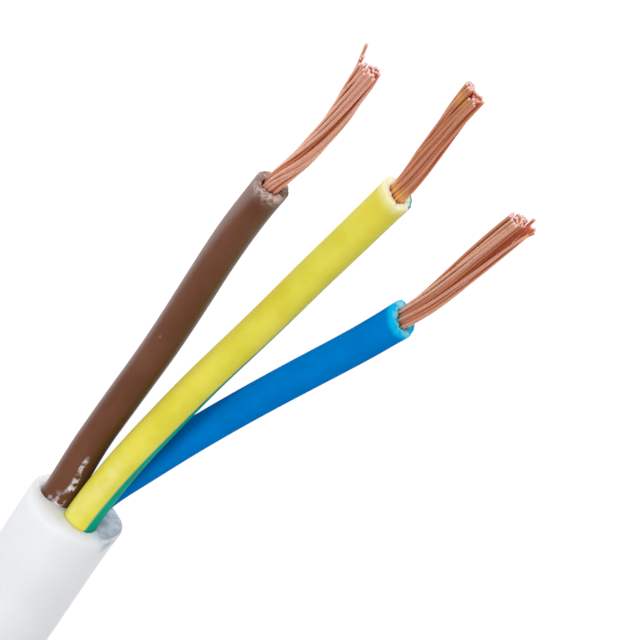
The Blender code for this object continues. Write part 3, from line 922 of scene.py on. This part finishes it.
def coil_line():
    """Every turn of the coil, from the inner end to where the lead leaves it."""
    low_r = COIL_MEAN_RADIUS - (TURNS_ACROSS - 1) / 2.0 * TURN_PITCH
    low_z = COIL_BOTTOM + SHEATH_RADIUS
    full_turn = 2.0 * math.pi
    moves = coil_moves()
    begin = moves[0][1] + math.radians(126.0)
    keys = [(begin, 0, 0)]
    for a, b, before, after in moves:
        while a <= keys[-1][0] + TINY:
            a += full_turn
            b += full_turn
        keys.append((a, *before))
        keys.append((b, *after))
    last = math.radians(-111.4)
    while last <= keys[-1][0]:
        last += full_turn
    keys.append((last, *keys[-1][1:]))
    angles = np.linspace(begin, last, int((last - begin) / math.radians(3.75)) + 1)
    where, layer, level = np.array(keys).T
    k = np.clip(np.searchsorted(where, angles, side="right") - 1, 0, len(keys) - 2)
    t = smooth_share(angles, where[k], where[k + 1])
    r = low_r + TURN_PITCH * (layer[k] * (1.0 - t) + layer[k + 1] * t)
    z = low_z + TURN_PITCH * (level[k] * (1.0 - t) + level[k + 1] * t)
    fade = np.clip((last - angles) / math.radians(30.0), 0.0, 1.0)
    r = r + 0.10 * MM * np.sin(angles * 1.37 + 0.5) * fade
    z = z + 0.08 * MM * np.sin(angles * 1.71 + 2.1) * fade
    return np.stack([COIL_CENTRE.x + r * np.cos(angles), COIL_CENTRE.y + r * np.sin(angles), z], axis=1)


def make_coil():
    """The wound cable; a ring close to each end keeps the shading of its flat end off its side."""
    sides = 20
    close = 0.05 * MM
    line = coil_line()
    line = np.vstack([line[0], line[0] + unit(line[1] - line[0]) * close, line[1:-1],
                      line[-1] + unit(line[-2] - line[-1]) * close, line[-1]])
    _, up_side, side = axes_along(line)
    tube = Tube(sides, "cut", "near", "turn")
    for middle, out in zip(line, spokes(angles_round(sides), up_side, side)):
        tube.add(middle + out * SHEATH_RADIUS, 0.0, 0.0, 0.0)
    obj = tube.piece("coil_turns", WHITE_PVC)
    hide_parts("cable_coil")
    return line


def make_inner_end(line):
    """The coil's other end, cut flush: three cores with their strands in the sheath's face."""
    sunk = -0.4 * MM
    normal = unit(line[0] - line[1])
    u = unit(np.cross(normal, np.array([0.0, 0.0, 1.0])))
    v = np.cross(normal, u)
    bundle = start_bundle(31) * STRAND_DIAMETER
    verts = []
    faces = []
    face_mats = []
    count = 0
    for k in range(3):
        turned = math.radians(25.0 + 120.0 * k)
        heart = line[0] + CORE_OFFSET * (math.cos(turned) * u + math.sin(turned) * v)
        plugs = [(heart, CORE_RADIUS * 0.97, 0.04 * MM, 28, k)]
        for x, y in bundle:
            plugs.append((heart + x * u + y * v, STRAND_DIAMETER / 2.0, 0.07 * MM, 8, 3))
        for centre, radius, high, sides, mat in plugs:
            ring = centre + spokes(angles_round(sides), u, v) * radius
            verts.extend([ring + normal * sunk, ring + normal * high])
            new_faces = loft_faces(2, sides, count)
            faces.extend(new_faces)
            face_mats.extend([mat] * len(new_faces))
            count += 2 * sides
    none = np.zeros(count)
    values = {key: none for key in ("rim", "dust", "stripe", "bore_shade", "gold_highlight")}
    values.update(strand=none + 0.5, open=none + 1.0, cut=none + 1.0)
    mats = [BROWN_PVC, EARTH_PVC, BLUE_PVC, COPPER]
    obj = new_piece("coil_inner_end", np.concatenate(verts), faces, mats, smooth=False,
                    face_mats=face_mats, values=values)


# cable ties

def rounded_loop(width, height, corner, arc_steps, side_steps):
    """Points and outward directions round a rounded box, in the plane of the ring's section."""
    hearts = [(sx * (width / 2.0 - corner), sz * (height / 2.0 - corner)) for sx, sz in QUARTERS]
    points = []
    outward = []
    for k, heart in enumerate(hearts):
        for i in range(arc_steps + 1):
            a = math.radians(90.0 * k + 90.0 * i / arc_steps)
            outward.append((math.cos(a), math.sin(a)))
            points.append((heart[0] + corner * math.cos(a), heart[1] + corner * math.sin(a)))
        side = outward[-1]
        start = points[-1]
        next_heart = hearts[(k + 1) % 4]
        end = (next_heart[0] + corner * side[0], next_heart[1] + corner * side[1])
        for i in range(1, side_steps):
            f = i / side_steps
            outward.append(side)
            points.append((start[0] + (end[0] - start[0]) * f, start[1] + (end[1] - start[1]) * f))
    return points, outward


def strap_section(width, thickness, edge):
    """A flat strap's section with rounded edges: pairs of (across the thickness, across the width)."""
    section = []
    for k, (su, sv) in enumerate(QUARTERS):
        for i in range(4):
            a = math.radians(90.0 * k + 30.0 * i)
            section.append((su * (thickness / 2.0 - edge) + edge * math.cos(a),
                            sv * (width / 2.0 - edge) + edge * math.sin(a)))
    return section


def boolean_cut(obj, cutter):
    step = obj.modifiers.new("cut", "BOOLEAN")
    step.operation = "DIFFERENCE"
    step.solver = "EXACT"
    step.object = cutter


def rounded_block(name, size, place_at, edge, segments):
    bm = bmesh.new()
    bmesh.ops.create_cube(bm, size=1.0, matrix=Matrix.Diagonal((*size, 1.0)))
    if edge > 0.0:
        bmesh.ops.bevel(bm, geom=list(bm.edges), offset=edge, segments=segments, profile=0.5,
                        affect="EDGES")
    bmesh.ops.translate(bm, verts=bm.verts, vec=place_at)
    mesh = bpy.data.meshes.new(name)
    bm.to_mesh(mesh)
    bm.free()
    return new_object(name, mesh)


def tie_head_mesh():
    """A tie's head, from the middle of its base: a rounded block with a slot, a window and its pawl."""
    head_size = (TIE_HEAD_LENGTH, TIE_HEAD_WIDTH, TIE_HEAD_HEIGHT)
    slot_size = (6.0 * MM, 5.1 * MM, 1.7 * MM)
    slot_height = 2.6 * MM
    window_size = (2.9 * MM, 3.6 * MM, 2.6 * MM)
    window_out = 0.3 * MM
    block = rounded_block("tie_head", head_size, (0.0, 0.0, TIE_HEAD_HEIGHT / 2.0), 0.9 * MM, 4)
    slot = rounded_block("tie_slot", slot_size, (TIE_HEAD_LENGTH / 2.0, 0.0, slot_height), 0.0, 1)
    window = rounded_block("tie_window", window_size, (window_out, 0.0, TIE_HEAD_HEIGHT), 0.3 * MM, 2)
    boolean_cut(block, slot)
    boolean_cut(block, window)
    bpy.context.view_layer.update()
    graph = bpy.context.evaluated_depsgraph_get()
    mesh = bpy.data.meshes.new_from_object(block.evaluated_get(graph))
    verts = [tuple(v.co) for v in mesh.vertices]
    faces = [tuple(f.vertices) for f in mesh.polygons]
    for obj in (block, slot, window):
        bpy.data.objects.remove(obj, do_unlink=True)
    base = len(verts)
    for y in (-1.5, 1.5):
        for x, z in ((-1.0, 3.5), (1.5, 3.5), (1.5, 3.9), (-1.0, 4.8)):
            verts.append((x * MM, y * MM, z * MM))
    for face in ((0, 1, 2, 3), (7, 6, 5, 4), (0, 4, 5, 1), (1, 5, 6, 2), (2, 6, 7, 3), (3, 7, 4, 0)):
        faces.append(tuple(base + i for i in face))
    return verts, faces


def tie_tail_mesh():
    """The cut tail, with its teeth on the underside; x runs out of the head."""
    step = 0.25 * MM
    steps_a_tooth = 4
    tooth_depth = 0.30 * MM
    toothless_edge = 0.6 * MM
    end_slant = 0.35 * MM
    section = strap_section(TIE_WIDTH - 0.4 * MM, TIE_THICKNESS, 0.28 * MM)
    count = int(round(TIE_TAIL_LENGTH / step)) + 1
    verts = []
    for i in range(count):
        tooth = tooth_depth * ((i % steps_a_tooth) / (steps_a_tooth - 1.0))
        for across, wide in section:
            inset = tooth if across < 0.0 and abs(wide) < TIE_WIDTH / 2.0 - toothless_edge else 0.0
            slant = end_slant * wide / TIE_WIDTH if i == count - 1 else 0.0
            verts.append((i * step + slant, wide, across + inset))
    return verts, loft_faces(count, len(section))


def make_tie(index):
    """A closed strap round the coil's section, with its head and tail on top."""
    section = strap_section(TIE_WIDTH, TIE_THICKNESS, 0.32 * MM)
    loop, outward = rounded_loop(COIL_WIDTH + 2.0 * TIE_GAP + TIE_THICKNESS,
                                 COIL_HEIGHT + 2.0 * TIE_GAP + TIE_THICKNESS,
                                 TIE_CORNER_RADIUS + TIE_THICKNESS / 2.0, 8, 9)
    middle_z = COIL_BOTTOM + COIL_HEIGHT / 2.0
    top = COIL_BOTTOM + COIL_HEIGHT + TIE_GAP
    head_at = (TIE_HEAD_OUT, 0.0, top + TIE_HEAD_UP)
    tail_at = (TIE_HEAD_OUT + TIE_HEAD_LENGTH / 2.0 - TIE_TAIL_IN, 0.0, top + TIE_THICKNESS + TIE_TAIL_UP)
    verts = []
    faces = []
    for (x, z), (nx, nz) in zip(loop, outward):
        for across, wide in section:
            verts.append((x + nx * across, wide, middle_z + z + nz * across))
    rings = len(loop)
    sides = len(section)
    for i in range(rings):
        a = i * sides
        b = ((i + 1) % rings) * sides
        for j in range(sides):
            k = (j + 1) % sides
            faces.append((a + j, b + j, b + k, a + k))
    for (new_verts, new_faces), (x_at, y_at, z_at) in ((TIE_HEAD, head_at), (TIE_TAIL, tail_at)):
        start = len(verts)
        verts.extend((x + x_at, y + y_at, z + z_at) for x, y, z in new_verts)
        faces.extend(tuple(start + i for i in face) for face in new_faces)
    angle = math.radians(TIE_FIRST_ANGLE + 360.0 / TIE_COUNT * index)
    out_to_coil = Matrix.Translation((COIL_MEAN_RADIUS, 0.0, 0.0))
    spot = Matrix.Translation(COIL_CENTRE) @ Matrix.Rotation(angle, 4, "Z") @ out_to_coil
    verts = [spot @ Vector(p) for p in verts]
    name = "cable_tie_%d" % (index + 1)
    obj = new_piece("nylon_tie_%d" % (index + 1), verts, faces, [NYLON], smooth=False)
    for face in obj.data.polygons:
        face.use_smooth = face.index < rings * sides
    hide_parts(name)


lead, lead_line = make_lead()
coil_path = make_coil()

EARTH_STRIPE = [(-8.0, 24.0, 146.0), (2.0, 35.0, 150.0), (12.0, 48.0, 160.0), (22.0, 61.0, 168.0),
                (32.0, 76.0, 174.0), (45.0, 76.0, 176.0)]
# Where the brown core's side is painted darker with shade and a reflection of the yellow core; its other
# side is painted paler as a sheen
BROWN_SHADE_AND_SHEEN = [(-8.0, 2.0, 150.0), (10.0, 5.0, 150.0), (26.0, 8.0, 150.0), (36.0, 30.0, 150.0),
              (45.0, 60.0, 150.0)]
BROWN_DUST = [(0.0, 0.0, 1.0, 22.0), (0.5, 13.0, 0.8, 15.0), (1.4, 20.0, 0.6, 8.0),
              (2.3, 27.0, 0.8, 10.0), (3.4, 25.0, 0.8, 9.0), (4.5, 22.0, 1.0, 8.0)]
EARTH_HAZE = [(1.0, -30.0, 3.5, 34.0), (5.0, -12.0, 3.5, 30.0)]
# Where the blue core is painted with the yellow core's shadow
BLUE_SHADE = [(-8.0, -170.0, 40.0), (6.0, -170.0, 30.0), (11.0, -160.0, 15.0), (16.0, -140.0, -25.0),
              (21.0, -115.0, -75.0), (24.0, -96.0, -94.0)]
brown_core, brown_line = make_core("brown_core", BROWN_POINTS, BROWN_PVC, "core_brown",
                                   [(0.0, 1.61), (3.0, 1.55), (8.0, 1.49), (26.0, 1.52), (39.5, 1.49)],
                                   BROWN_SHADE_AND_SHEEN, BROWN_DUST, seed=21, slant=(0.0, 0.10, 60.0))
earth_core, earth_line = make_core("green_yellow_core", EARTH_POINTS, EARTH_PVC, "core_green_yellow",
                                   [(0.0, 1.54), (8.0, 1.52), (20.0, 1.47), (46.0, 1.49)],
                                   EARTH_STRIPE, EARTH_HAZE, seed=22, slant=(0.05, 0.20, -90.0))
blue_core, blue_line = make_core("blue_core", BLUE_POINTS, BLUE_PVC, "core_blue",
                                 [(0.0, 1.52), (15.0, 1.50), (38.0, 1.50)], BLUE_SHADE, seed=23,
                                 tip_bore=0.80, slant=(-0.25, 0.42, -90.0))

BROWN_STRAYS = [((54.53, 0.59, 14.21), 0.3, 1), ((53.7, 0.30, 14.5), 0.5, 2)]
BLUE_STRAYS = [((49.42, -17.68, 10.47), 0.8, 1), ((48.9, -18.13, 10.85), 0.75, 3)]
# Patches of painted golden highlight on the earth strands
EARTH_GOLD_HIGHLIGHTS = [((44.1, -7.85, 9.0), 1.2, 0.65), ((54.7, -7.60, 13.2), 0.7, 0.6)]
brown_copper = make_strands("brown_strands", brown_line, BROWN_COPPER, "conductor_brown", 5,
                            [(0.0, 2.45), (0.15, 2.6), (0.55, 2.95), (0.93, 4.1), (1.0, 4.2)],
                            (10.2, 12.0), (28.0 * MM, 46.0 * MM), (14, 18, 22, 25, 29),
                            (0.45, 0.04 * MM, 0.35 * MM), 0.16 * MM, BROWN_STRAYS, bright=0.88)
earth_copper = make_strands("green_yellow_strands", earth_line, EARTH_COPPER, "conductor_green_yellow", 6,
                            [(0.0, 2.5), (0.15, 2.75), (0.55, 3.4), (0.93, 4.4), (1.0, 4.5)],
                            (10.2, 12.0), (44.0 * MM, 80.0 * MM), (15, 17, 19, 23, 27),
                            (0.15, 0.20 * MM, 0.6 * MM), 0.16 * MM, bright=0.22, gold_highlight=EARTH_GOLD_HIGHLIGHTS)
blue_copper = make_strands("blue_strands", blue_line, BLUE_COPPER, "conductor_blue", 7,
                           [(0.0, 2.5), (0.15, 3.1), (0.5, 3.8), (0.93, 4.8), (1.0, 5.0)],
                           (10.2, 18.0), (55.0 * MM, 100.0 * MM), (14, 16, 18, 21, 24, 27),
                           (0.5, -0.03 * MM, 0.4 * MM), 0.2 * MM, BLUE_STRAYS)

make_inner_end(coil_path)
TIE_HEAD = tie_head_mesh()
TIE_TAIL = tie_tail_mesh()
for number in range(TIE_COUNT):
    make_tie(number)


# floor and light

def make_floor():
    """A wide white ground, just under the part, that gives off light of its own."""
    half = 4.0
    mesh = bpy.data.meshes.new("floor")
    mesh.from_pydata([(half * sx, half * sy, 0.0) for sx, sy in QUARTERS], [], [(0, 1, 2, 3)])
    mesh.materials.append(Look("scene_floor").finish((0.12, 0.12, 0.12), 0.9, Specular_IOR_Level=0.0,
                                                     Emission_Color=WHITE, Emission_Strength=0.94))
    obj = new_object("floor", mesh)
    obj.location = (0.0, 0.0, -0.2 * MM)


def soft_light(name, direction, distance, size, power):
    """A square lamp in one direction from the middle of the cores, aimed at it."""
    data = bpy.data.lights.new(name, "AREA")
    data.shape = "SQUARE"
    data.size = size
    data.energy = power
    lamp = new_object(name, data)
    towards = Vector(direction).normalized()
    lamp.location = END + LIGHT_AIM + towards * distance
    lamp.rotation_mode = "QUATERNION"
    lamp.rotation_quaternion = towards.to_track_quat("Z", "Y")


make_floor()
soft_light("key_light", (0.10, 0.75, 0.66), 0.9, 0.8, 1.2)
soft_light("front_light", (0.80, 0.10, 0.60), 1.2, 0.9, 6.0)
soft_light("top_light", (-0.05, 0.15, 1.0), 1.2, 0.9, 6.3)
soft_light("side_light", (-0.20, -0.80, 0.56), 1.2, 0.9, 2.3)
world = bpy.data.worlds.new("studio")
bpy.context.scene.world = world
world.use_nodes = True
sky = world.node_tree.nodes["Background"]
sky.inputs["Color"].default_value = WHITE
sky.inputs["Strength"].default_value = 0.28
bpy.context.scene.view_settings.view_transform = "Standard"
bpy.context.scene.view_settings.look = "None"

bpy.context.view_layer.update()
